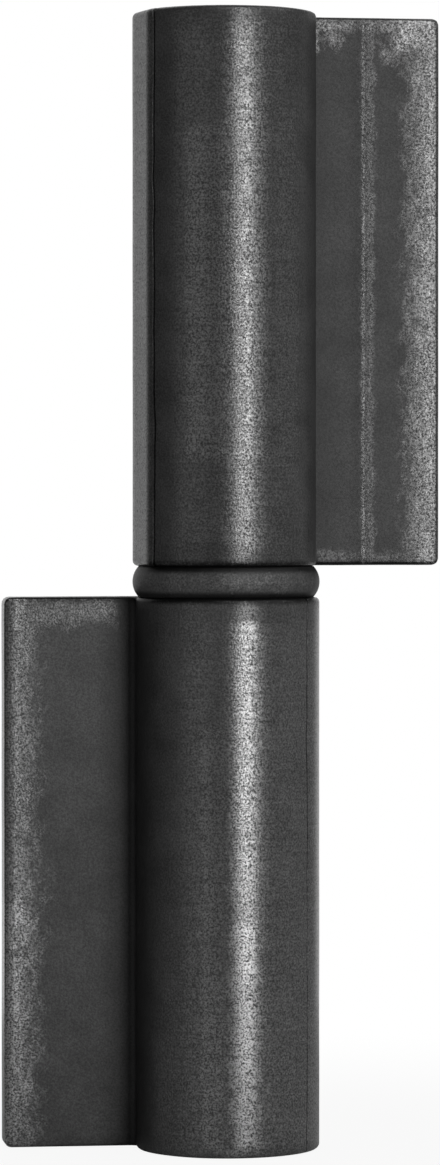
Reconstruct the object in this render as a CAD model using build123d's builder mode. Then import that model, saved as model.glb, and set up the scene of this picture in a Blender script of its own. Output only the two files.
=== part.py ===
from build123d import *
from math import cos, radians, sin, sqrt
import os

# Weld on barrel hinge of the lift-off kind, 100 mm tall, in raw steel.
#
# Two halves of one rolled section stand end to end on a common pin: the lower one keeps
# the pin, the upper one drops over it, and a loose ring between their ends takes the
# weight of the door. Each half is one piece, a flat leaf that grows into a knuckle, whose
# two lips are closed round the bore and meet in a seam on the side away from the leaf.
#
# Millimetres. +Z runs up the pin, the leaves lie across X with the upper one towards +X,
# and their weld faces look towards +Y. The origin is on the pin axis, at the foot.

# Overall
hinge_height = 100.0
hinge_width = 38.9

# Knuckles. The rolled round sits a little off the pin axis, away from its leaf
knuckle_diameter = 16.2
knuckle_offset = 0.16
pin_diameter = 10.0
running_clearance = 0.1
bore_chamfer = 0.4

# Lips and seam: angles are counted from the front (-Y) towards the lip side
upper_seam_angle = 58.0
lower_seam_angle = 52.0
upper_seam_gap = 0.26
lower_seam_gap = 0.08
lip_bevel_ratio = 0.8
lip_flat_offset = 20.0
upper_lip_flat_depth = 0.25
lower_lip_flat_depth = 0.0
lip_blend_radius = 4.0

# Leaves
leaf_thickness = 3.0
leaf_front = 2.0
leaf_corner = 0.5
root_radius_front = 0.5
root_radius_back = 1.6
edge_radius = 0.4
bearing_bevel = 0.35

# Shallow band left on the front of the upper leaf by the closing die
die_start = 8.7
die_end = 12.3
upper_die_depth = 0.06
lower_die_depth = 0.0

# Thrust ring
ring_height = 2.7
ring_diameter = 16.5
ring_rim_bulge = 0.53
ring_bore_clearance = 0.15

# Pin
pin_foot_recess = 0.5
pin_head_recess = 3.0
pin_lead_chamfer = 1.0
pin_foot_chamfer = 0.5

# Derived sizes
knuckle_radius = knuckle_diameter / 2
pin_radius = pin_diameter / 2
half_length = (hinge_height - ring_height) / 2
leaf_reach = hinge_width / 2
leaf_middle = leaf_front + leaf_thickness / 2
upper_seat = half_length + ring_height

# Each half is drawn on the plane of the end that meets the ring, and grows away from it.
# The lower plane is the upper one flipped end for end about the front-to-back axis.
upper_plane = Plane(origin=(0, 0, upper_seat), x_dir=(1, 0, 0), z_dir=(0, 0, 1))
lower_plane = Plane(origin=(0, 0, half_length), x_dir=(-1, 0, 0), z_dir=(0, 0, -1))


def lip_direction(angle):
    """Unit vector, in a half's own sketch, at an angle from the front to the lip side."""
    return Vector(-sin(radians(angle)), -cos(radians(angle)))


def at_root(corner):
    """Whether a corner of the section is where the leaf meets the knuckle."""
    return pin_radius < corner.X < knuckle_radius and corner.Y > leaf_front / 2


def at_leaf_end(edge):
    """Whether an edge runs up the leaf's end or down the slope of its outer corner."""
    middle = edge.center()
    along_y = abs(edge.tangent_at(0.5).Y) > 0.5
    return abs(middle.X) > leaf_reach - leaf_corner and not along_y


def end_faces(half, seat):
    """The two end faces of a half, the one that bears on the ring first."""
    ends = half.faces().filter_by(Axis.Z)
    return ends.sort_by(lambda face: abs(face.center().Z - seat.origin.Z))


def hinge_half(seat, bore_radius, seam_angle, seam_gap, lip_flat_depth, die_depth):
    """One leaf with its knuckle, grown from the plane of the end that meets the ring."""
    knuckle_centre = Vector(-knuckle_offset, 0)
    flat_angle = seam_angle + lip_flat_offset
    flat_middle = knuckle_centre + lip_direction(flat_angle) * knuckle_radius
    flat_place = Location(flat_middle, 90 - flat_angle)
    seam_radius = knuckle_radius + knuckle_offset * sin(radians(seam_angle))
    seam_place = Location(lip_direction(seam_angle) * seam_radius, 90 - seam_angle)
    slot_length = 2 * (knuckle_radius - bore_radius) + pin_radius
    mouth_side = seam_gap * (1 + 2 * lip_bevel_ratio) / sqrt(2)

    with BuildPart() as half:
        # Solid section: the round of the knuckle with its flatter lip, then the leaf
        with BuildSketch(seat) as section:
            with Locations(knuckle_centre):
                Circle(knuckle_radius)
            if lip_flat_depth:
                with Locations(flat_place):
                    Rectangle(2 * lip_flat_depth, knuckle_radius, mode=Mode.SUBTRACT)
                lip_corners = section.vertices().filter_by(lambda corner: corner.X < 0)
                fillet(lip_corners, lip_blend_radius)
            with Locations((0, leaf_middle)):
                Rectangle(leaf_reach, leaf_thickness, align=(Align.MIN, Align.CENTER))
            back_root = section.vertices().filter_by(at_root).sort_by(Axis.Y)[-1]
            fillet(back_root, root_radius_back)
            front_root = section.vertices().filter_by(at_root).sort_by(Axis.Y)[0]
            fillet(front_root, root_radius_front)
        extrude(amount=half_length)

        # The end that bears on the ring is faced flat and bevelled all round. The other end
        # has its leaf corner cut off, then the tumbled edge rounds it and the leaf's end
        chamfer(end_faces(half, seat)[0].edges(), bearing_bevel)
        chamfer(end_faces(half, seat)[-1].edges().filter_by(Axis.Y), leaf_corner)
        outer_rim = end_faces(half, seat)[-1].edges().filter_by(Axis.Y, reverse=True)
        leaf_end = half.edges().filter_by(at_leaf_end)
        fillet(outer_rim + leaf_end, edge_radius)

        # Bore for the pin, eased at both mouths
        with BuildSketch(seat):
            Circle(bore_radius)
        extrude(amount=half_length, mode=Mode.SUBTRACT)
        mouths = half.edges().filter_by(GeomType.CIRCLE).filter_by(
            lambda edge: abs(edge.radius - bore_radius) < 0.01
        )
        chamfer(mouths, bore_chamfer)

        # Seam between the two lips: a slot to the bore, with a square on edge for the V of
        # its mouth. Beside it, the band pressed into the leaf by the closing die
        with BuildSketch(seat):
            with Locations(seam_place):
                Rectangle(slot_length, seam_gap)
                Rectangle(mouth_side, mouth_side, rotation=45)
            if die_depth:
                with Locations((die_start, leaf_front)):
                    Rectangle(die_end - die_start, die_depth, align=(Align.MIN, Align.MIN))
        extrude(amount=half_length, mode=Mode.SUBTRACT)
    return half


upper_leaf = hinge_half(
    upper_plane,
    pin_radius + running_clearance,
    upper_seam_angle,
    upper_seam_gap,
    upper_lip_flat_depth,
    upper_die_depth,
)
upper_leaf.part.label = "upper_leaf"

lower_leaf = hinge_half(
    lower_plane,
    pin_radius,
    lower_seam_angle,
    lower_seam_gap,
    lower_lip_flat_depth,
    lower_die_depth,
)
lower_leaf.part.label = "lower_leaf"

# Loose ring between the two knuckles, turned with a crowned rim
with BuildPart() as thrust_ring:
    with BuildSketch(Plane.XZ):
        with BuildLine():
            inner = pin_radius + ring_bore_clearance
            shoulder = ring_diameter / 2 - ring_rim_bulge
            foot = half_length
            head = half_length + ring_height
            middle = half_length + ring_height / 2
            Polyline((shoulder, head), (inner, head), (inner, foot), (shoulder, foot))
            ThreePointArc((shoulder, foot), (ring_diameter / 2, middle), (shoulder, head))
        make_face()
    revolve(axis=Axis.Z)
thrust_ring.part.label = "thrust_ring"

# Plain round pin, driven into the lower knuckle and free in the upper one
with BuildPart() as hinge_pin:
    pin_length = hinge_height - pin_foot_recess - pin_head_recess
    with BuildSketch(Plane.XY.offset(pin_foot_recess)):
        Circle(pin_radius)
    extrude(amount=pin_length)
    chamfer(hinge_pin.edges().sort_by(Axis.Z)[-1], pin_lead_chamfer)
    chamfer(hinge_pin.edges().sort_by(Axis.Z)[0], pin_foot_chamfer)
hinge_pin.part.label = "hinge_pin"

os.makedirs("parts", exist_ok=True)
export_step(upper_leaf.part, "parts/upper_leaf.step")
export_step(lower_leaf.part, "parts/lower_leaf.step")
export_step(thrust_ring.part, "parts/thrust_ring.step")
export_step(hinge_pin.part, "parts/hinge_pin.step")
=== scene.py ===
"""Weld-on barrel hinge of hot-rolled steel: two rolled halves, the thrust ring between them and the pin.

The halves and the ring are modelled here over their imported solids, the pin keeps its solid, and all of
them get their finish. The classes hold millimetres, except the studio's; Blender gets metres.
"""

import logging
from dataclasses import dataclass, field
from enum import Enum
from math import acos, asin, atan2, cos, degrees, hypot, pi, radians, sin, sqrt
from typing import Any

import bpy
from bpy.types import Material, Node, NodeSocket, NodeTree, Object
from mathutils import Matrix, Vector


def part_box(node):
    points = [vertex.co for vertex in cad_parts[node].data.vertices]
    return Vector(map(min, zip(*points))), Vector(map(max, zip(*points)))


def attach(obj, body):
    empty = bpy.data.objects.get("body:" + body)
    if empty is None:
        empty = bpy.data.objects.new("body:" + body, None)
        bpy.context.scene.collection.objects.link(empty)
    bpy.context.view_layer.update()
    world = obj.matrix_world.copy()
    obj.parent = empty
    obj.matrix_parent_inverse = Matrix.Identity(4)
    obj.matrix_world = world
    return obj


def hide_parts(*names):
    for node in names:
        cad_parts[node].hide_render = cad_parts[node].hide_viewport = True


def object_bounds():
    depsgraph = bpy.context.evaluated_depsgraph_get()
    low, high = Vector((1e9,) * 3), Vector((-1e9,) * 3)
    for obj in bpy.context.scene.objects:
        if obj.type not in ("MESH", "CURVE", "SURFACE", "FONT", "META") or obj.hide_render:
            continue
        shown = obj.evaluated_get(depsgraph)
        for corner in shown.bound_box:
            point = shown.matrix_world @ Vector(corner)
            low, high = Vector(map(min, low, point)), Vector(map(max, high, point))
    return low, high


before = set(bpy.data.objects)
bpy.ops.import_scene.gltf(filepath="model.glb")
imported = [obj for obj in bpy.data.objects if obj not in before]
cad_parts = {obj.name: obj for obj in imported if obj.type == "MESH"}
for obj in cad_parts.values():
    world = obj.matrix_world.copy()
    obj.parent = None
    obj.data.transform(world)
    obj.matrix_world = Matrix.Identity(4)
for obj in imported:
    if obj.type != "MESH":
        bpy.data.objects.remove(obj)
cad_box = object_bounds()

logging.basicConfig(level=logging.INFO, format="%(message)s")
log = logging.getLogger("barrel hinge")

MM = 0.001
UP = Vector((0.0, 0.0, 1.0))
FRONT = Vector((0.0, -1.0, 0.0))
# Points closer than this are one point.
SAME_POINT = 0.01 * MM
# Faces that meet at less than this shade as one surface.
SMOOTH_ANGLE = radians(35)
# Margins for finding an edge by its place, in millimetres: at a corner, and on an arc of short edges.
CORNER_MARGIN = 0.01
ARC_MARGIN = 0.05


def linear(hex_colour: str) -> tuple[float, float, float, float]:
    """Turns an sRGB hex colour into the linear values that a socket takes.

    Args:
        hex_colour: six hex digits after a hash.

    Returns:
        Linear red, green and blue, and an alpha of 1.
    """
    parts = [int(hex_colour[i : i + 2], 16) / 255 for i in (1, 3, 5)]
    r, g, b = [c / 12.92 if c <= 0.04045 else ((c + 0.055) / 1.055) ** 2.4 for c in parts]
    return (r, g, b, 1.0)


def smooth(share: float) -> float:
    """Eases a share from 0 to 1, flat at both ends."""
    share = min(max(share, 0.0), 1.0)
    return share * share * (3 - 2 * share)


def add_node(
    tree: NodeTree,
    kind: str,
    settings: dict[str, Any] | None = None,
    inputs: dict[str | int, Any] | None = None,
) -> Node:
    """Adds a node, sets it, and fills or links its sockets.

    Args:
        tree: the node tree that gets it.
        kind: the node's Blender type, without the ShaderNode that each starts with.
        settings: the node's own properties.
        inputs: for each socket a value, or another node's output to link.

    Returns:
        The new node.
    """
    node = tree.nodes.new("ShaderNode" + kind)
    for name, value in (settings or {}).items():
        setattr(node, name, value)
    for socket, value in (inputs or {}).items():
        if isinstance(value, NodeSocket):
            tree.links.new(value, node.inputs[socket])
        else:
            node.inputs[socket].default_value = value
    return node


def start_clean() -> None:
    """Leaves edit mode and deselects everything, so that an operator acts on the new piece alone."""
    if bpy.context.object is not None and bpy.context.object.mode != "OBJECT":
        bpy.ops.object.mode_set(mode="OBJECT")
    bpy.ops.object.select_all(action="DESELECT")


def apply_modifiers(piece: Object) -> None:
    """Applies every modifier of a piece, first to last."""
    for modifier in list(piece.modifiers):
        bpy.ops.object.modifier_apply(modifier=modifier.name)


class Pen:
    """Draws a flat outline in edit mode, one run after another, as a draughtsman's pen does."""

    def __init__(self, name: str, start: Vector, normal: Vector) -> None:
        """Sets the pen down.

        Args:
            name: the new piece's name.
            start: the outline's first point, in metres.
            normal: the axis about which a positive arc turns anticlockwise.
        """
        start_clean()
        bpy.ops.mesh.primitive_plane_add(size=MM, enter_editmode=True, location=start)
        bpy.ops.mesh.merge(type="CENTER")
        self.piece = bpy.context.object
        self.piece.name = name
        self.piece.data.name = name
        self.at = start.copy()
        self.normal = normal

    def line(self, end: Vector, step: float) -> None:
        """Draws straight to a point.

        Args:
            end: the line's end, in metres.
            step: about how far apart its points are.
        """
        count = max(1, round((end - self.at).length / step))
        move = (end - self.at) / count
        for _ in range(count):
            bpy.ops.mesh.extrude_vertices_move(TRANSFORM_OT_translate={"value": move})
        self.at = end.copy()

    def arc(self, centre: Vector, turn: float, step: float) -> None:
        """Draws an arc from where the pen is.

        Args:
            centre: the arc's centre, in metres.
            turn: degrees, anticlockwise about the normal.
            step: about how far apart its points are.
        """
        spoke = self.at - centre
        count = max(2, round(abs(radians(turn)) * spoke.length / step))
        # Without a window the spin goes clockwise about its axis for a positive angle.
        bpy.ops.mesh.spin(steps=count, angle=-radians(turn), center=centre, axis=self.normal)
        across = self.normal.cross(spoke)
        self.at = centre + spoke * cos(radians(turn)) + across * sin(radians(turn))

    def close(self, filled: bool) -> Object:
        """Joins the last point to the first.

        Args:
            filled: whether the outline becomes a face.

        Returns:
            The piece, still in edit mode with all of it selected.
        """
        bpy.ops.mesh.select_all(action="SELECT")
        bpy.ops.mesh.remove_doubles(threshold=SAME_POINT)
        bpy.ops.mesh.select_all(action="SELECT")
        if filled:
            bpy.ops.mesh.edge_face_add()
        return self.piece


class Place(Enum):
    """Which half of the hinge a piece is."""

    UPPER = "upper"
    LOWER = "lower"


class Side(Enum):
    """Which side of a half a worn zone marks."""

    ALL_ROUND = "all round"
    FRONT = "front"


@dataclass(frozen=True)
class WornZone:
    """A box of the surface where handling and stacking have rubbed the scale thin.

    Lengths are millimetres in the half's own place: out along the leaf from the pin's axis, up from
    the end that bears on the ring. Fade is the width over which it thins out, and ragged how far its
    edge strays. The amount is the share of bright grains in its middle. A front zone leaves the back
    of the knuckle and the weld face of the leaf as they were.
    """

    out: tuple[float, float]
    up: tuple[float, float]
    fade: float
    ragged: float
    amount: float
    side: Side = Side.ALL_ROUND


@dataclass(frozen=True)
class MillScale:
    """Hot-rolled mild steel, left as rolled and tumbled.

    Its grey oxide scale is nearly black and dull. Rolling, tumbling and handling have burnished it
    through to the steel in fine grains, so it sparkles softly wherever a lamp is mirrored and stays
    dark elsewhere. Drag marks run round the knuckles and down the leaves. Sizes are millimetres.
    """

    name: str
    scale_colour: str = "#2b2b2b"
    pale_scale_colour: str = "#353535"
    steel_colour: str = "#9a9a9a"
    scale_roughness: float = 0.5
    steel_roughness: float = 0.29
    # Oxide mirrors less than clear paint does, because it is full of pores.
    scale_specular: float = 0.25
    # The metallic share from which the surface gleams as steel does.
    first_gleam: float = 0.35
    # The real grains are some hundredths of a millimetre. They are drawn coarser, so that they show.
    grain: float = 0.165
    grain_contrast: float = 7.0
    grain_relief: float = 0.025
    # How dark and how light a grain of the scale is, as shares of the scale's colour.
    speckle: tuple[float, float] = (0.55, 1.45)
    # Drag marks to the millimetre along out, back and up. One round the knuckle is 3.3 long and 0.2
    # high, and one on the leaf 0.4 wide and 1.7 long: coarser than real ones, so that they show.
    knuckle_drag: tuple[float, float, float] = (0.3, 0.3, 4.6)
    leaf_drag: tuple[float, float, float] = (2.6, 0.5, 0.6)
    drag_contrast: float = 1.5
    drag_relief: float = 0.01
    # Where the marks turn from round the knuckle to down the leaf, as distances out.
    drag_change: tuple[float, float] = (7.9, 8.3)
    # Patches of thinner, paler scale, each 3.3 across.
    patches_per_mm: float = 0.3
    # The values over which each noise turns from none to all.
    patch_band: tuple[float, float] = (0.35, 0.65)
    grain_band: tuple[float, float] = (0.3, 0.7)
    # The edges of worn zones stray in tongues 1.1 wide and 1.7 high.
    tongues_per_mm: float = 0.9
    tongue_squeeze: float = 0.65
    tear_stretch: float = 4.0
    # Where the front ends: at the pin's axis on the knuckle, and halfway through the plate further out.
    front_change: tuple[float, float] = (7.6, 8.2)
    mid_plate: float = 3.5
    # The corner between knuckle and leaf, how far the shade painted into its groove reaches, and how dark
    # that painted shade is at its deepest, as a share of the scale's colour.
    root_out: float = 8.4
    painted_groove_reach: float = 3.2
    painted_groove_shade: float = 0.3
    # Heights of the ends that run against the ring, and the band of shade painted beside each: where it
    # starts and ends to lift, and how dark it is.
    bearing_ends: tuple[float, ...] = (0.0,)
    painted_bearing_band: tuple[float, float] = (0.25, 0.7)
    painted_bearing_shade: float = 0.08
    zones: tuple[WornZone, ...] = ()

    def make(self, ring_end: float, place: Place) -> Material:
        """Builds the material.

        Args:
            ring_end: the height of the piece's end at the ring, in metres.
            place: whether the piece stands upright or is turned end for end.

        Returns:
            The node material, named for the steel and how it was made.
        """
        turned_over = place is Place.LOWER
        material = bpy.data.materials.new(self.name)
        material.use_nodes = True
        tree = material.node_tree
        tree.nodes.clear()
        # The piece's own place in millimetres: out along the leaf, to the back, and up from the ring.
        spot = add_node(
            tree,
            "Mapping",
            inputs={
                "Vector": add_node(tree, "TexCoord").outputs["Object"],
                "Location": (0.0, 0.0, ring_end / MM if turned_over else -ring_end / MM),
                "Rotation": (0.0, pi if turned_over else 0.0, 0.0),
                "Scale": (1 / MM, 1 / MM, 1 / MM),
            },
        ).outputs["Vector"]
        grains = add_node(
            tree,
            "TexNoise",
            inputs={"Vector": spot, "Scale": 1 / self.grain, "Detail": 2.0, "Roughness": 0.6},
        ).outputs["Fac"]
        drag = self._drag(tree, spot)
        # Grains and drag marks let more or less of the steel show, in proportion to the wear.
        lifted = add_node(
            tree,
            "Math",
            {"operation": "MULTIPLY_ADD"},
            {0: grains, 1: self.grain_contrast, 2: 1.0 - self.grain_contrast / 2},
        ).outputs["Value"]
        dragged = add_node(
            tree,
            "Math",
            {"operation": "MULTIPLY_ADD"},
            {0: drag, 1: self.drag_contrast, 2: 1.0 - self.drag_contrast / 2},
        ).outputs["Value"]
        shown = add_node(
            tree, "Math", {"operation": "MULTIPLY"}, {0: lifted, 1: dragged}
        ).outputs["Value"]
        bare = add_node(
            tree,
            "Math",
            {"operation": "MULTIPLY", "use_clamp": True},
            {0: self._wear(tree, spot), 1: shown},
        ).outputs["Value"]
        cloudy = add_node(
            tree, "TexNoise", inputs={"Vector": spot, "Scale": self.patches_per_mm, "Detail": 6.0}
        ).outputs["Fac"]
        low, high = self.patch_band
        patches = add_node(
            tree, "MapRange", inputs={"Value": cloudy, "From Min": low, "From Max": high}
        ).outputs["Result"]
        scale_colour = add_node(
            tree,
            "Mix",
            {"data_type": "RGBA"},
            {0: patches, 6: linear(self.scale_colour), 7: linear(self.pale_scale_colour)},
        ).outputs[2]
        # Shade painted into the scale's colour: darker in the groove by the knuckle's root and beside the
        # ends against the ring.
        clear = self._shade_painted_in_grooves(tree, spot)
        # The scale itself is granular: each grain is a little lighter or darker.
        low, high = self.grain_band
        dark, light = self.speckle
        speckled = add_node(
            tree,
            "MapRange",
            inputs={"Value": grains, "From Min": low, "From Max": high, "To Min": dark, "To Max": light},
        ).outputs["Result"]
        # The painted groove shade, times the grains' lighter and darker speckle, scales the scale's
        # colour.
        shade = add_node(
            tree, "Math", {"operation": "MULTIPLY"}, {0: clear, 1: speckled}
        ).outputs["Value"]
        scale_colour = add_node(
            tree, "VectorMath", {"operation": "SCALE"}, {0: scale_colour, "Scale": shade}
        ).outputs["Vector"]
        relief = add_node(
            tree,
            "Bump",
            inputs={"Height": grains, "Strength": 0.6, "Distance": self.grain_relief * MM},
        ).outputs["Normal"]
        relief = add_node(
            tree,
            "Bump",
            inputs={
                "Height": drag,
                "Strength": 0.2,
                "Distance": self.drag_relief * MM,
                "Normal": relief,
            },
        ).outputs["Normal"]
        # One shader holds both. Its colour is all that scale and steel send back together, and its
        # metallic share is the steel's part of that, so the dark scale stays dark between bright grains.
        steel_colour = linear(self.steel_colour)
        colour = add_node(
            tree, "Mix", {"data_type": "RGBA"}, {0: bare, 6: scale_colour, 7: steel_colour}
        ).outputs[2]
        from_steel = add_node(
            tree, "Math", {"operation": "MULTIPLY"}, {0: bare, 1: steel_colour[1]}
        ).outputs["Value"]
        from_both = add_node(tree, "RGBToBW", inputs={"Color": colour}).outputs["Val"]
        metal = add_node(
            tree, "Math", {"operation": "DIVIDE", "use_clamp": True}, {0: from_steel, 1: from_both}
        ).outputs["Value"]
        roughness = add_node(
            tree,
            "MapRange",
            inputs={
                "Value": metal,
                "From Max": self.first_gleam,
                "To Min": self.scale_roughness,
                "To Max": self.steel_roughness,
            },
        ).outputs["Result"]
        shader = add_node(
            tree,
            "BsdfPrincipled",
            inputs={
                "Base Color": colour,
                "Metallic": metal,
                "Roughness": roughness,
                "Specular IOR Level": self.scale_specular,
                "Normal": relief,
            },
        )
        add_node(tree, "OutputMaterial", inputs={"Surface": shader.outputs["BSDF"]})
        return material

    def _shade_painted_in_grooves(self, tree: NodeTree, spot: NodeSocket) -> NodeSocket:
        """Paints shade into the scale's colour in the groove by the knuckle's root and beside the ends
        that run against the ring.

        Args:
            tree: the material's tree.
            spot: the surface point in the half's own millimetres.

        Returns:
            A share that is 1 in the open and low in the grooves.
        """
        axes = add_node(tree, "SeparateXYZ", inputs={"Vector": spot})
        grooves = [("X", self.root_out, 0.0, self.painted_groove_reach, self.painted_groove_shade)]
        # A band of painted shade beside each end that runs against the ring.
        grooves += [("Z", end, *self.painted_bearing_band, self.painted_bearing_shade) for end in self.bearing_ends]
        clear = None
        for axis, middle, near, far, shade in grooves:
            offset = add_node(
                tree, "Math", {"operation": "SUBTRACT"}, {0: axes.outputs[axis], 1: middle}
            ).outputs["Value"]
            away = add_node(tree, "Math", {"operation": "ABSOLUTE"}, {0: offset}).outputs["Value"]
            share = add_node(
                tree,
                "MapRange",
                {"interpolation_type": "SMOOTHSTEP"},
                {"Value": away, "From Min": near, "From Max": far, "To Min": shade},
            ).outputs["Result"]
            if clear is not None:
                share = add_node(
                    tree, "Math", {"operation": "MULTIPLY"}, {0: clear, 1: share}
                ).outputs["Value"]
            clear = share
        return clear

    def _drag(self, tree: NodeTree, spot: NodeSocket) -> NodeSocket:
        """Draws the drag marks: round the knuckle, and down the leaf.

        Args:
            tree: the material's tree.
            spot: the surface point in the half's own millimetres.

        Returns:
            How strongly each mark shows, about 0.5 on average.
        """
        marks = []
        for squeeze in (self.knuckle_drag, self.leaf_drag):
            drawn_out = add_node(
                tree, "Mapping", inputs={"Vector": spot, "Scale": squeeze}
            ).outputs["Vector"]
            marks.append(
                add_node(
                    tree, "TexNoise", inputs={"Vector": drawn_out, "Scale": 1.0, "Detail": 3.0}
                ).outputs["Fac"]
            )
        out = add_node(tree, "SeparateXYZ", inputs={"Vector": spot}).outputs["X"]
        knuckle_end, leaf_start = self.drag_change
        on_leaf = add_node(
            tree, "MapRange", inputs={"Value": out, "From Min": knuckle_end, "From Max": leaf_start}
        ).outputs["Result"]
        return add_node(tree, "Mix", inputs={0: on_leaf, 2: marks[0], 3: marks[1]}).outputs[0]

    def _wear(self, tree: NodeTree, spot: NodeSocket) -> NodeSocket:
        """Adds up the worn zones.

        Args:
            tree: the material's tree.
            spot: the surface point in the half's own millimetres.

        Returns:
            How worn the surface is, from 0 to 1.
        """
        axes = add_node(tree, "SeparateXYZ", inputs={"Vector": spot})
        drawn_down = add_node(
            tree, "Mapping", inputs={"Vector": spot, "Scale": (1.0, 1.0, self.tongue_squeeze)}
        ).outputs["Vector"]
        drift = add_node(
            tree,
            "TexNoise",
            inputs={
                "Vector": drawn_down,
                "Scale": self.tongues_per_mm,
                "Detail": 8.0,
                "Roughness": 0.72,
            },
        ).outputs["Fac"]
        centred = add_node(tree, "Math", {"operation": "SUBTRACT"}, {0: drift, 1: 0.5}).outputs["Value"]
        knuckle_end, leaf_start = self.front_change
        front_end = add_node(
            tree,
            "MapRange",
            inputs={
                "Value": axes.outputs["X"],
                "From Min": knuckle_end,
                "From Max": leaf_start,
                "To Max": self.mid_plate,
            },
        ).outputs["Result"]
        front_depth = add_node(
            tree, "Math", {"operation": "SUBTRACT"}, {0: front_end, 1: axes.outputs["Y"]}
        ).outputs["Value"]
        total = None
        for zone in self.zones:
            inside = front_depth if zone.side is Side.FRONT else None
            for axis, (low, high) in (("X", zone.out), ("Z", zone.up)):
                for near, far in ((axes.outputs[axis], low), (high, axes.outputs[axis])):
                    depth = add_node(
                        tree, "Math", {"operation": "SUBTRACT"}, {0: near, 1: far}
                    ).outputs["Value"]
                    if inside is not None:
                        depth = add_node(
                            tree, "Math", {"operation": "MINIMUM"}, {0: inside, 1: depth}
                        ).outputs["Value"]
                    inside = depth
            # The noise stays near its middle, so it is stretched before it tears the edge.
            torn = add_node(
                tree,
                "Math",
                {"operation": "MULTIPLY_ADD"},
                {0: centred, 1: zone.ragged * self.tear_stretch, 2: inside},
            ).outputs["Value"]
            half_fade = zone.fade / 2
            share = add_node(
                tree,
                "MapRange",
                {"interpolation_type": "SMOOTHSTEP"},
                {"Value": torn, "From Min": -half_fade, "From Max": half_fade, "To Max": zone.amount},
            ).outputs["Result"]
            if total is not None:
                share = add_node(
                    tree, "Math", {"operation": "MAXIMUM"}, {0: total, 1: share}
                ).outputs["Value"]
            total = share
        return total


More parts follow.
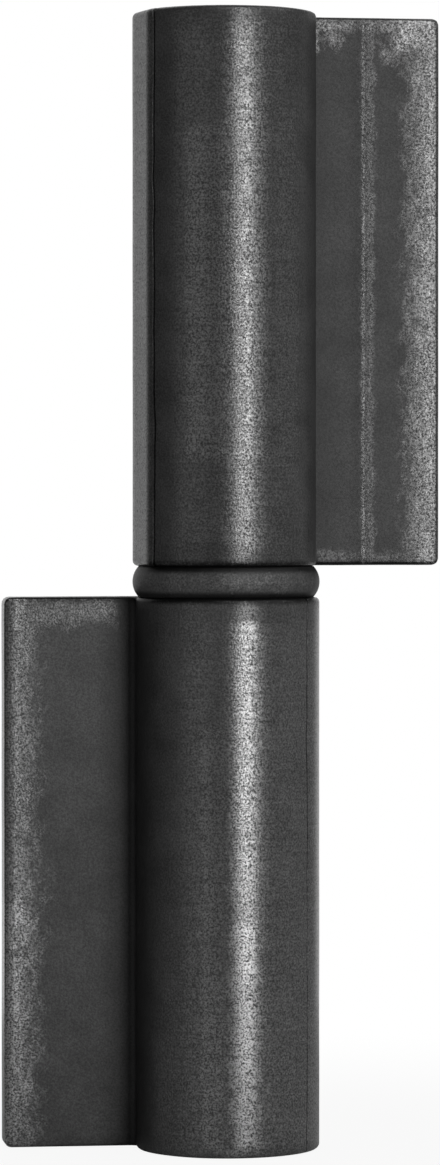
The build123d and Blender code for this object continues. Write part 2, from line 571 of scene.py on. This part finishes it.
@dataclass
class HingeHalf:
    """One half of the hinge: a leaf whose end is rolled round into the knuckle.

    The section is drawn with the leaf out along +X and the ring's end at the bottom. The lower half is
    the same section turned end for end about Y. Sizes are millimetres, angles degrees.
    """

    place: Place
    node: str
    body: str
    slot: str
    finish: MillScale
    bore_radius: float
    # The seam between the closed lips: its turn from the front, away from the leaf, and its width.
    seam_angle: float
    seam_gap: float
    lip_rounding: float
    # How deep the closing tools pressed the flat beside the seam and the band on the leaf, 0 for none.
    lip_flat_depth: float
    die_depth: float
    # How far the knuckle sits off the pin's axis, away from its leaf.
    knuckle_offset: float = 0.16
    # The plate's faces, as distances behind the pin's axis.
    leaf_front: float = 2.0
    leaf_back: float = 5.0
    die_start: float = 8.7
    die_end: float = 12.45
    die_ramp: float = 0.4
    root_radius_front: float = 0.5
    root_radius_back: float = 1.6
    lip_flat_offset: float = 20.0
    # Radii of the tumbled edges.
    rim_rounding: float = 0.4
    leaf_rounding: float = 0.36
    corner_rounding: float = 0.66
    bore_rounding: float = 0.4
    lip_edge: float = 0.04
    slot_edge: float = 0.12
    largest_rounding: float = 0.9
    rounding_segments: int = 4
    # Edges deeper in the wall than the first cross it, and those further out than the second are the
    # leaf's, both from the knuckle's radius inwards.
    rim_depth: float = 0.3
    root_depth: float = 0.5
    # Where the rim is roundest: so far either side of the flat's middle, easing off beyond.
    rolled_over: float = 18.0
    rolled_fade: float = 90.0
    # How far and in what lengths the seam wanders, and the strip of wall by it that goes along.
    seam_wander: float = 0.55
    wander_length: float = 5.0
    lip_width: float = 1.2
    lip_inside: float = 6.2
    lip_fade: float = 1.0
    # The waves that rolling leaves in the faces.
    wave_length: float = 9.0
    wave_depth: float = 0.05
    # Spacing of the mesh's points.
    arc_step: float = 0.55
    leaf_step: float = 1.0
    height_step: float = 0.7
    front_root_step: float = 0.12
    back_root_step: float = 0.25
    # Measured on the solid when the half is built, in millimetres, the ring's end in metres.
    radius: float = field(init=False)
    reach: float = field(init=False)
    length: float = field(init=False)
    ring_end: float = field(init=False)
    seam_turn: float = field(init=False)

    def build(self) -> Object:
        """Draws the section, raises it, rounds its edges and puts it in its place.

        Returns:
            The finished piece, riding on its body.
        """
        low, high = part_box(self.node)
        self.radius = (high.y - low.y) / 2 / MM
        self.reach = max(high.x, -low.x) / MM
        self.length = (high.z - low.z) / MM
        self.ring_end = low.z if self.place is Place.UPPER else high.z
        self.seam_turn = 270.0 - self.seam_angle
        piece = self._draw_section()
        bpy.ops.mesh.extrude_region_move(TRANSFORM_OT_translate={"value": UP * self.length * MM})
        bpy.ops.mesh.select_all(action="SELECT")
        bpy.ops.mesh.normals_make_consistent(inside=False)
        bpy.ops.object.mode_set(mode="OBJECT")
        bpy.ops.object.transform_apply(location=True, rotation=True, scale=True)
        self._round_edges(piece)
        self._divide_height(piece)
        self._work_surface(piece)
        if self.place is Place.LOWER:
            piece.rotation_euler.y = pi
        piece.location = Vector((0.0, 0.0, self.ring_end))
        bpy.ops.object.transform_apply(location=True, rotation=True, scale=True)
        bpy.ops.object.shade_smooth_by_angle(angle=SMOOTH_ANGLE)
        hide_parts(self.node)
        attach(piece, self.body)
        return piece

    def dress(self, piece: Object) -> None:
        """Gives the half its rolled steel."""
        piece.data.materials.clear()
        piece.data.materials.append(self.finish.make(self.ring_end, self.place))

    def _slot_corner(self, radius: float, centre: Vector, side: float) -> Vector:
        """Where a wall of the seam's slot meets a round of the section.

        Args:
            radius: the round's radius, in metres.
            centre: its centre.
            side: -1 or 1, for the wall on either side of the seam.

        Returns:
            The corner, in metres.
        """
        along = Vector((cos(radians(self.seam_turn)), sin(radians(self.seam_turn)), 0.0))
        wall = UP.cross(along) * side * self.seam_gap / 2 * MM - centre
        reach = sqrt(radius**2 - wall.length_squared + wall.dot(along) ** 2)
        return centre + wall + along * (reach - wall.dot(along))

    def _draw_section(self) -> Object:
        """Draws the rolled section, from one lip round the knuckle and the leaf to the other.

        Returns:
            The filled section, in edit mode.
        """
        axis = Vector((0.0, 0.0, 0.0))
        middle = Vector((-self.knuckle_offset, 0.0, 0.0)) * MM
        radius = self.radius * MM
        bore = self.bore_radius * MM
        front, back = self.leaf_front * MM, self.leaf_back * MM
        front_root, back_root = self.root_radius_front * MM, self.root_radius_back * MM
        front_out = sqrt((radius + front_root) ** 2 - (front - front_root) ** 2)
        back_out = sqrt((radius + back_root) ** 2 - (back + back_root) ** 2)
        front_centre = middle + Vector((front_out, front - front_root, 0.0))
        back_centre = middle + Vector((back_out, back + back_root, 0.0))
        front_turn = self._turn(front_centre - middle)
        back_turn = self._turn(back_centre - middle)
        start = self._slot_corner(radius, middle, 1)
        finish = self._slot_corner(radius, middle, -1)
        arc_step = self.arc_step * MM
        leaf_step = self.leaf_step * MM
        pen = Pen(f"{self.place.value}_rolled_half", start, UP)
        pen.arc(middle, 360 + front_turn - self._turn(start - middle), arc_step)
        pen.arc(front_centre, -(90 + front_turn), self.front_root_step * MM)
        if self.die_depth:
            for out, depth in (
                (self.die_start, 0.0),
                (self.die_start + self.die_ramp, self.die_depth),
                (self.die_end - self.die_ramp, self.die_depth),
                (self.die_end, 0.0),
            ):
                pen.line(Vector((out, self.leaf_front + depth, 0.0)) * MM, leaf_step)
        pen.line(Vector((self.reach * MM, front, 0.0)), leaf_step)
        pen.line(Vector((self.reach * MM, back, 0.0)), leaf_step)
        pen.line(Vector((back_centre.x, back, 0.0)), leaf_step)
        pen.arc(back_centre, -(90 - back_turn), self.back_root_step * MM)
        reached = back_turn
        if self.lip_flat_depth:
            flat_half = degrees(acos(1 - self.lip_flat_depth / self.radius))
            flat_turn = self.seam_turn - self.lip_flat_offset
            pen.arc(middle, flat_turn - flat_half - reached, arc_step)
            reached = flat_turn + flat_half
            spoke = Vector((cos(radians(reached)), sin(radians(reached)), 0.0))
            pen.line(middle + spoke * radius, arc_step)
        pen.arc(middle, self._turn(finish - middle) - reached, arc_step)
        pen.line(self._slot_corner(bore, axis, -1), leaf_step)
        pen.arc(axis, 2 * degrees(asin(self.seam_gap / 2 / self.bore_radius)) - 360, arc_step)
        pen.line(start, leaf_step)
        return pen.close(filled=True)

    def _turn(self, spoke: Vector) -> float:
        """Degrees from +X to a spoke, from 0 to 360."""
        return degrees(atan2(spoke.y, spoke.x)) % 360

    def _rim_rounding(self, turn: float) -> float:
        """How round the knuckle's rim is: more towards the lips, where the strip was rolled over.

        Args:
            turn: degrees from +X, from 0 to 360.

        Returns:
            The rim's radius in millimetres.
        """
        away = abs(turn - (self.seam_turn - self.lip_flat_offset))
        share = 1.0 - smooth((away - self.rolled_over) / self.rolled_fade)
        return self.rim_rounding + (self.lip_rounding - self.rim_rounding) * share

    def _edge_rounding(self, start: Vector, end: Vector) -> float:
        """The radius of one edge of the raised section.

        Args:
            start: the edge's first end, in millimetres.
            end: its other end.

        Returns:
            The radius in millimetres, 0 where the edge stays.
        """
        middle = (start + end) / 2
        from_pin = hypot(middle.x, middle.y)
        spoke = Vector((middle.x + self.knuckle_offset, middle.y))
        off_seam = abs(middle.x * sin(radians(self.seam_turn)) - middle.y * cos(radians(self.seam_turn)))
        at_leaf_end = min(start.x, end.x) > self.reach - CORNER_MARGIN
        upright = abs(start.z - end.z) > self.length / 2
        if upright:
            if at_leaf_end:
                return self.leaf_rounding
            at_seam = off_seam < self.seam_gap / 2 + CORNER_MARGIN
            at_rim = middle.x < 0 and spoke.length > self.radius - ARC_MARGIN
            return self.lip_edge if at_rim and at_seam else 0.0
        if from_pin < self.bore_radius + ARC_MARGIN:
            return self.bore_rounding
        # The slot's own edges cross the wall, so their middles lie well inside the rim.
        if middle.x < 0 and spoke.length < self.radius - self.rim_depth:
            return self.slot_edge
        if at_leaf_end:
            return self.corner_rounding
        if middle.x > self.radius - self.root_depth:
            return self.leaf_rounding
        return self._rim_rounding(self._turn(spoke))

    def _round_edges(self, piece: Object) -> None:
        """Rounds the rims, the leaf's end and the lips, each by its own radius."""
        mesh = piece.data
        weights = mesh.attributes.new("bevel_weight_edge", "FLOAT", "EDGE")
        for edge in mesh.edges:
            start, end = (mesh.vertices[i].co / MM for i in edge.vertices)
            rounding = self._edge_rounding(start, end)
            weights.data[edge.index].value = rounding / self.largest_rounding
        bpy.ops.object.modifier_add(type="BEVEL")
        bevel = piece.modifiers[-1]
        bevel.limit_method = "WEIGHT"
        bevel.width = self.largest_rounding * MM
        bevel.segments = self.rounding_segments
        bevel.use_clamp_overlap = False
        apply_modifiers(piece)

    def _divide_height(self, piece: Object) -> None:
        """Divides the long upright edges, so that the surface can carry its unevenness."""
        bpy.ops.object.mode_set(mode="EDIT")
        # In edge mode the edges across the ends stay out of the selection.
        bpy.ops.mesh.select_mode(type="EDGE")
        bpy.ops.mesh.select_all(action="DESELECT")
        bpy.ops.object.mode_set(mode="OBJECT")
        mesh = piece.data
        for edge in mesh.edges:
            start, end = (mesh.vertices[i].co for i in edge.vertices)
            edge.select = abs(start.z - end.z) > self.length / 2 * MM
        bpy.ops.object.mode_set(mode="EDIT")
        bpy.ops.mesh.subdivide(number_cuts=round(self.length / self.height_step))
        bpy.ops.mesh.select_mode(type="VERT")
        bpy.ops.object.mode_set(mode="OBJECT")

    def _work_surface(self, piece: Object) -> None:
        """Makes the rolled surfaces slightly uneven and lets the seam wander, as rolling leaves them."""
        seam = radians(self.seam_turn)
        lips = piece.vertex_groups.new(name="lips")
        for vertex in piece.data.vertices:
            spot = vertex.co / MM
            from_axis = hypot(spot.x, spot.y)
            off_seam = abs(spot.x * sin(seam) - spot.y * cos(seam))
            near = smooth(1 - off_seam / self.lip_width)
            near *= smooth((from_axis - self.lip_inside) / self.lip_fade)
            if spot.x * cos(seam) + spot.y * sin(seam) > 0 and near > 0:
                lips.add([vertex.index], near, "REPLACE")
        wander = bpy.data.textures.new("seam wander", "CLOUDS")
        wander.noise_scale = self.wander_length * MM
        for direction, share in (("X", -sin(seam)), ("Y", cos(seam))):
            bpy.ops.object.modifier_add(type="DISPLACE")
            shift = piece.modifiers[-1]
            shift.texture = wander
            shift.texture_coords = "LOCAL"
            shift.direction = direction
            shift.vertex_group = lips.name
            shift.mid_level = 0.5
            shift.strength = self.seam_wander * share * MM
        waves = bpy.data.textures.new("rolling waves", "CLOUDS")
        waves.noise_scale = self.wave_length * MM
        bpy.ops.object.modifier_add(type="DISPLACE")
        uneven = piece.modifiers[-1]
        uneven.texture = waves
        uneven.texture_coords = "LOCAL"
        uneven.direction = "NORMAL"
        # Inward only, so that the half stays inside its solid.
        uneven.mid_level = 1.0
        uneven.strength = self.wave_depth * MM
        apply_modifiers(piece)
        piece.vertex_groups.clear()


@dataclass
class ThrustRing:
    """The loose ring that the upper knuckle bears on, pressed with a crowned rim. Sizes in millimetres."""

    node: str
    body: str
    slot: str
    finish: MillScale
    # How far the rim's crown stands out beyond the ring's two faces.
    rim_bulge: float = 0.53
    bore_clearance: float = 0.15
    pin_radius: float = 5.0
    bore_edge: float = 0.2
    # Spacing of the mesh's points, and how many of them go round.
    crown_step: float = 0.14
    face_step: float = 1.2
    bore_step: float = 1.0
    turns: int = 120

    def build(self) -> Object:
        """Draws the ring's section and spins it about the pin.

        Returns:
            The finished ring, riding on its body.
        """
        low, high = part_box(self.node)
        bottom = low.z / MM
        height = (high.z - low.z) / MM
        radius = high.x / MM
        bore = self.pin_radius + self.bore_clearance
        shoulder = radius - self.rim_bulge
        crown = ((height / 2) ** 2 + self.rim_bulge**2) / (2 * self.rim_bulge)
        centre = Vector((radius - crown, 0.0, bottom + height / 2)) * MM
        sweep = 2 * degrees(asin(height / 2 / crown))
        edge = self.bore_edge
        pen = Pen("crowned_thrust_ring", Vector((shoulder, 0.0, bottom)) * MM, FRONT)
        pen.arc(centre, sweep, self.crown_step * MM)
        for out, up, step in (
            (bore + edge, bottom + height, self.face_step),
            (bore, bottom + height - edge, self.bore_step),
            (bore, bottom + edge, self.bore_step),
            (bore + edge, bottom, self.bore_step),
            (shoulder, bottom, self.face_step),
        ):
            pen.line(Vector((out, 0.0, up)) * MM, step * MM)
        ring = pen.close(filled=False)
        bpy.ops.mesh.spin(steps=self.turns, angle=2 * pi, center=(0.0, 0.0, 0.0), axis=UP)
        bpy.ops.mesh.select_all(action="SELECT")
        bpy.ops.mesh.remove_doubles(threshold=SAME_POINT)
        bpy.ops.mesh.select_all(action="SELECT")
        bpy.ops.mesh.normals_make_consistent(inside=False)
        bpy.ops.object.mode_set(mode="OBJECT")
        bpy.ops.object.transform_apply(location=True, rotation=True, scale=True)
        bpy.ops.object.shade_smooth_by_angle(angle=SMOOTH_ANGLE)
        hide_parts(self.node)
        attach(ring, self.body)
        return ring

    def dress(self, ring: Object) -> None:
        """Gives the ring its scaled steel."""
        ring.data.materials.clear()
        ring.data.materials.append(self.finish.make(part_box(self.node)[0].z, Place.UPPER))


@dataclass
class HingePin:
    """The drawn round bar pressed into the lower half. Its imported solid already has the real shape."""

    node: str
    finish: MillScale

    def dress(self) -> Object:
        """Gives the pin its finish.

        Returns:
            The CAD node, unmoved, in its new material.
        """
        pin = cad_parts[self.node]
        pin.data.materials.clear()
        pin.data.materials.append(self.finish.make(0.0, Place.UPPER))
        return pin


@dataclass
class Lamp:
    """A soft box that looks at the hinge.

    Turn is degrees from the front towards +X and rise degrees above level. Lengths are metres. The
    radiance is how bright its face is, where 1 mirrors as white.
    """

    name: str
    turn: float
    rise: float
    distance: float
    width: float
    height: float
    radiance: float

    def build(self, target: Vector) -> None:
        """Hangs the lamp.

        Args:
            target: the point that it faces, in metres.
        """
        away = Vector((
            sin(radians(self.turn)) * cos(radians(self.rise)),
            -cos(radians(self.turn)) * cos(radians(self.rise)),
            sin(radians(self.rise)),
        ))
        light = bpy.data.lights.new(self.name, "AREA")
        light.shape = "RECTANGLE"
        light.size = self.width
        light.size_y = self.height
        light.energy = self.radiance * pi * self.width * self.height
        holder = bpy.data.objects.new(self.name, light)
        holder.location = target + away * self.distance
        holder.rotation_euler = away.to_track_quat("Z", "Y").to_euler()
        bpy.context.scene.collection.objects.link(holder)


@dataclass
class Studio:
    """Plain pale floor, soft boxes, a white sweep behind and the camera.

    Lengths are metres, except the camera's place and aim, which are in heights of the hinge.
    """

    floor_radius: float = 0.12
    floor_sides: int = 96
    floor_colour: str = "#b8b8b8"
    # The floor's glow to the camera beside the hinge, and where it starts and ends to rise to 1.
    floor_glow: float = 0.91
    glow_from: float = 0.02
    glow_to: float = 0.1
    # How bright the surroundings are: as they light dull surfaces, and as steel mirrors them.
    ambient: float = 0.25
    room: float = 0.04
    right_wall: float = 0.3
    # The sweep behind and the wall on the right: how nearly straight back, or right, a ray has to go
    # to meet the edge of each and its full brightness, where 1 is straight.
    sweep_reach: tuple[float, float] = (0.5, 0.95)
    wall_reach: tuple[float, float] = (0.6, 0.9)
    camera_turn: float = -8.0
    camera_distance: float = 4.358
    camera_height: float = 0.5747
    aim_height: float = 0.499
    aim_side: float = 0.0053
    lens: float = 152.8
    # Measured on the hinge when the studio is built.
    size: float = field(init=False)
    centre: Vector = field(init=False)

    def build(self) -> None:
        """Builds the floor, the world, the lamps and the camera."""
        low, high = cad_box
        self.size = high.z - low.z
        self.centre = Vector((0.0, 0.0, (low.z + high.z) / 2))
        self._floor(low.z)
        self._world()
        for lamp in (
            Lamp("tall key strip", turn=15.2, rise=6, distance=0.85, width=0.19, height=1.4, radiance=6.6),
            Lamp("tall fill strip", turn=31, rise=6, distance=0.95, width=0.3, height=1.4, radiance=0.7),
            Lamp("low left panel", turn=-48, rise=8, distance=1.0, width=0.8, height=0.9, radiance=0.25),
            Lamp("high front box", turn=8, rise=44, distance=1.3, width=1.1, height=0.9, radiance=1.1),
            Lamp("high right box", turn=65, rise=42, distance=1.3, width=1.1, height=0.9, radiance=1.2),
            Lamp("high back box", turn=180, rise=55, distance=1.4, width=1.4, height=0.9, radiance=1.0),
        ):
            lamp.build(self.centre)
        self._camera()
        bpy.context.scene.view_settings.view_transform = "Standard"

    def _floor(self, level: float) -> None:
        """Lays the floor.

        Args:
            level: the height that the hinge stands at, in metres.
        """
        start_clean()
        bpy.ops.mesh.primitive_circle_add(
            vertices=self.floor_sides,
            radius=self.floor_radius,
            fill_type="NGON",
            location=(0.0, 0.0, level),
        )
        floor = bpy.context.object
        floor.name = "floor"
        material = bpy.data.materials.new("matt white paper sweep")
        material.use_nodes = True
        tree = material.node_tree
        tree.nodes.clear()
        paper = add_node(tree, "BsdfDiffuse", inputs={"Color": linear(self.floor_colour)})
        glow = add_node(tree, "Emission", inputs={"Strength": 1.0})
        # The paper glows a little to the camera, and wholly further out, where it runs into the sweep.
        from_hinge = add_node(
            tree,
            "VectorMath",
            {"operation": "LENGTH"},
            {0: add_node(tree, "TexCoord").outputs["Object"]},
        ).outputs["Value"]
        glowing = add_node(
            tree,
            "MapRange",
            {"interpolation_type": "SMOOTHSTEP"},
            {
                "Value": from_hinge,
                "From Min": self.glow_from,
                "From Max": self.glow_to,
                "To Min": self.floor_glow,
            },
        ).outputs["Result"]
        seen = add_node(
            tree,
            "Math",
            {"operation": "MULTIPLY"},
            {0: add_node(tree, "LightPath").outputs["Is Camera Ray"], 1: glowing},
        )
        mixed = add_node(
            tree,
            "MixShader",
            inputs={0: seen.outputs["Value"], 1: paper.outputs["BSDF"], 2: glow.outputs["Emission"]},
        )
        add_node(tree, "OutputMaterial", inputs={"Surface": mixed.outputs["Shader"]})
        floor.data.materials.append(material)

    def _world(self) -> None:
        """Sets the world: white to the camera, and in steel a white sweep behind and a dim room."""
        world = bpy.data.worlds.new("studio")
        world.use_nodes = True
        bpy.context.scene.world = world
        tree = world.node_tree
        tree.nodes.clear()
        look = add_node(
            tree, "SeparateXYZ", inputs={"Vector": add_node(tree, "TexCoord").outputs["Generated"]}
        )
        start, whole = self.sweep_reach
        sweep = add_node(
            tree,
            "MapRange",
            {"interpolation_type": "SMOOTHSTEP"},
            {"Value": look.outputs["Y"], "From Min": start, "From Max": whole, "To Min": self.room},
        )
        start, whole = self.wall_reach
        wall = add_node(
            tree,
            "MapRange",
            {"interpolation_type": "SMOOTHSTEP"},
            {"Value": look.outputs["X"], "From Min": start, "From Max": whole, "To Max": self.right_wall},
        )
        around = add_node(
            tree,
            "Math",
            {"operation": "MAXIMUM"},
            {0: sweep.outputs["Result"], 1: wall.outputs["Result"]},
        )
        rays = add_node(tree, "LightPath")
        mirrored = add_node(
            tree,
            "Math",
            {"operation": "MAXIMUM"},
            {0: rays.outputs["Is Glossy Ray"], 1: rays.outputs["Is Transmission Ray"]},
        )
        strength = add_node(
            tree,
            "Mix",
            inputs={0: mirrored.outputs["Value"], 2: self.ambient, 3: around.outputs["Value"]},
        )
        shown = add_node(
            tree, "Mix", inputs={0: rays.outputs["Is Camera Ray"], 2: strength.outputs[0], 3: 1.0}
        )
        back = add_node(
            tree, "Background", inputs={"Color": (1.0, 1.0, 1.0, 1.0), "Strength": shown.outputs[0]}
        )
        add_node(tree, "OutputWorld", inputs={"Surface": back.outputs["Background"]})
        # Each kind of ray has its own world here, so none is sampled as a lamp would be.
        world.cycles.sampling_method = "NONE"

    def _camera(self) -> None:
        """Sets the camera a little left of square on, just above the middle."""
        turn = radians(self.camera_turn)
        right = Vector((cos(turn), sin(turn), 0.0))
        spot = Vector((sin(turn), -cos(turn), 0.0)) * self.camera_distance * self.size
        spot.z = self.camera_height * self.size
        aim = -right * self.aim_side * self.size
        aim.z = self.aim_height * self.size
        lens = bpy.data.cameras.new("product camera")
        lens.lens = self.lens
        lens.clip_start = 0.01
        camera = bpy.data.objects.new("product camera", lens)
        camera.location = spot
        camera.rotation_euler = (spot - aim).to_track_quat("Z", "Y").to_euler()
        bpy.context.scene.collection.objects.link(camera)
        bpy.context.scene.camera = camera


# Rolled and tumbled with its scale on. The knuckle is rubbed grey in upright bands with black between
# them, and the leaf is black with a grey outer edge, top corner and edge of the die's band.
UPPER_STEEL = MillScale(
    name="hot-rolled steel, upper half",
    # Painted shade in the groove by the knuckle's root, lighter and narrower than on the lower half.
    painted_groove_reach=2.4,
    painted_groove_shade=0.7,
    zones=(
        # The knuckle's bands.
        WornZone(out=(-7.0, 5.0), up=(1.4, 47.6), fade=3.0, ragged=0.8, amount=0.22),
        WornZone(out=(0.3, 2.9), up=(9.0, 41.0), fade=1.6, ragged=0.7, amount=0.38, side=Side.FRONT),
        WornZone(out=(0.3, 2.9), up=(1.0, 47.6), fade=1.6, ragged=0.7, amount=0.29, side=Side.FRONT),
        WornZone(out=(3.0, 5.6), up=(8.0, 40.0), fade=1.2, ragged=0.8, amount=0.27, side=Side.FRONT),
        WornZone(out=(-4.7, -1.0), up=(9.0, 38.6), fade=1.8, ragged=0.5, amount=0.48, side=Side.FRONT),
        WornZone(out=(-9.0, 6.4), up=(0.3, 48.3), fade=2.0, ragged=0.6, amount=0.14),
        # The leaf's outer edge and top corner.
        WornZone(out=(17.3, 22.0), up=(-2.0, 51.0), fade=3.6, ragged=1.3, amount=0.21),
        WornZone(out=(15.4, 22.0), up=(45.6, 51.0), fade=3.0, ragged=1.4, amount=0.25),
        # Beside the die's band and on its edge.
        WornZone(out=(12.45, 13.5), up=(-2.0, 51.0), fade=0.7, ragged=0.5, amount=0.06, side=Side.FRONT),
        WornZone(out=(12.42, 12.74), up=(-2.0, 51.0), fade=0.2, ragged=0.09, amount=0.19, side=Side.FRONT),
        # The top of the root, and the leaf's rims above and below.
        WornZone(out=(8.2, 8.6), up=(45.6, 48.0), fade=0.4, ragged=0.2, amount=0.12, side=Side.FRONT),
        WornZone(out=(9.2, 10.6), up=(46.0, 47.6), fade=1.2, ragged=1.0, amount=0.09, side=Side.FRONT),
        WornZone(out=(8.2, 22.0), up=(47.4, 48.3), fade=0.8, ragged=0.5, amount=0.13),
        WornZone(out=(8.6, 22.0), up=(0.3, 1.2), fade=0.9, ragged=0.6, amount=0.04),
    ),
)

# The same steel with slightly paler scale, and more of it rubbed away. The knuckle has one bright band
# and a wide grey one beside it, and the leaf a broad grey edge that is brightest near its foot.
LOWER_STEEL = MillScale(
    name="hot-rolled steel, lower half",
    scale_colour="#323232",
    pale_scale_colour="#3c3c3c",
    zones=(
        # The knuckle's bands.
        WornZone(out=(-9.0, 5.0), up=(2.0, 48.0), fade=3.4, ragged=0.8, amount=0.28),
        WornZone(out=(-2.1, 1.0), up=(2.0, 48.3), fade=1.0, ragged=0.6, amount=0.4, side=Side.FRONT),
        WornZone(out=(-2.1, 1.0), up=(28.0, 48.3), fade=2.0, ragged=1.0, amount=0.62, side=Side.FRONT),
        WornZone(out=(-8.5, -2.0), up=(6.0, 48.3), fade=2.0, ragged=1.0, amount=0.31, side=Side.FRONT),
        WornZone(out=(1.2, 3.4), up=(11.0, 48.0), fade=1.0, ragged=0.6, amount=0.5, side=Side.FRONT),
        WornZone(out=(-9.0, 6.4), up=(0.6, 48.3), fade=2.0, ragged=0.6, amount=0.14),
        # The leaf's outer edge, its worn corner and its rim by the ring.
        WornZone(out=(17.2, 22.0), up=(-2.0, 51.0), fade=3.2, ragged=1.4, amount=0.24),
        WornZone(out=(17.4, 22.0), up=(26.0, 51.0), fade=4.0, ragged=1.6, amount=0.55),
        WornZone(out=(10.0, 19.2), up=(0.5, 2.4), fade=1.4, ragged=1.0, amount=0.12, side=Side.FRONT),
    ),
)

# Pressed hot and scaled all over. It bears on both faces and rubs only round its crown, which is a faint
# grey; beside both faces its colour is painted dark, as shade in the grooves against the halves.
RING_STEEL = MillScale(
    name="hot-rolled steel, ring",
    scale_colour="#353535",
    pale_scale_colour="#3e3e3e",
    steel_roughness=0.55,
    bearing_ends=(0.0, 2.7),
    zones=(WornZone(out=(-9.0, 9.0), up=(0.9, 1.8), fade=1.0, ragged=1.1, amount=0.13),),
)

# Drawn cold through a die, which leaves almost no scale: smooth grey steel that gleams along its length.
PIN_STEEL = MillScale(
    name="bright drawn steel, pin",
    scale_colour="#6f6f6f",
    pale_scale_colour="#7c7c7c",
    scale_roughness=0.4,
    bearing_ends=(),
    zones=(WornZone(out=(-9.0, 9.0), up=(-200.0, 200.0), fade=1.0, ragged=0.8, amount=0.9),),
)


def main() -> None:
    """Builds and dresses the hinge and its studio."""
    halves = (
        HingeHalf(
            place=Place.UPPER,
            node="upper_leaf",
            body="upper_half",
            slot="upper_leaf_steel",
            finish=UPPER_STEEL,
            bore_radius=5.1,
            seam_angle=58.0,
            seam_gap=0.26,
            lip_rounding=0.5,
            lip_flat_depth=0.25,
            die_depth=0.06,
        ),
        HingeHalf(
            place=Place.LOWER,
            node="lower_leaf",
            body="lower_half",
            slot="lower_leaf_steel",
            finish=LOWER_STEEL,
            bore_radius=5.0,
            seam_angle=52.0,
            seam_gap=0.08,
            lip_rounding=0.45,
            lip_flat_depth=0.0,
            die_depth=0.0,
        ),
    )
    ring = ThrustRing("thrust_ring", "ring", "ring_steel", RING_STEEL)
    for part in (*halves, ring):
        piece = part.build()
        part.dress(piece)
        log.info("%s: %d faces", piece.name, len(piece.data.polygons))
    pin = HingePin("hinge_pin", PIN_STEEL).dress()
    log.info("%s: its CAD solid, dressed", pin.name)
    Studio().build()


if __name__ == "__main__":
    main()
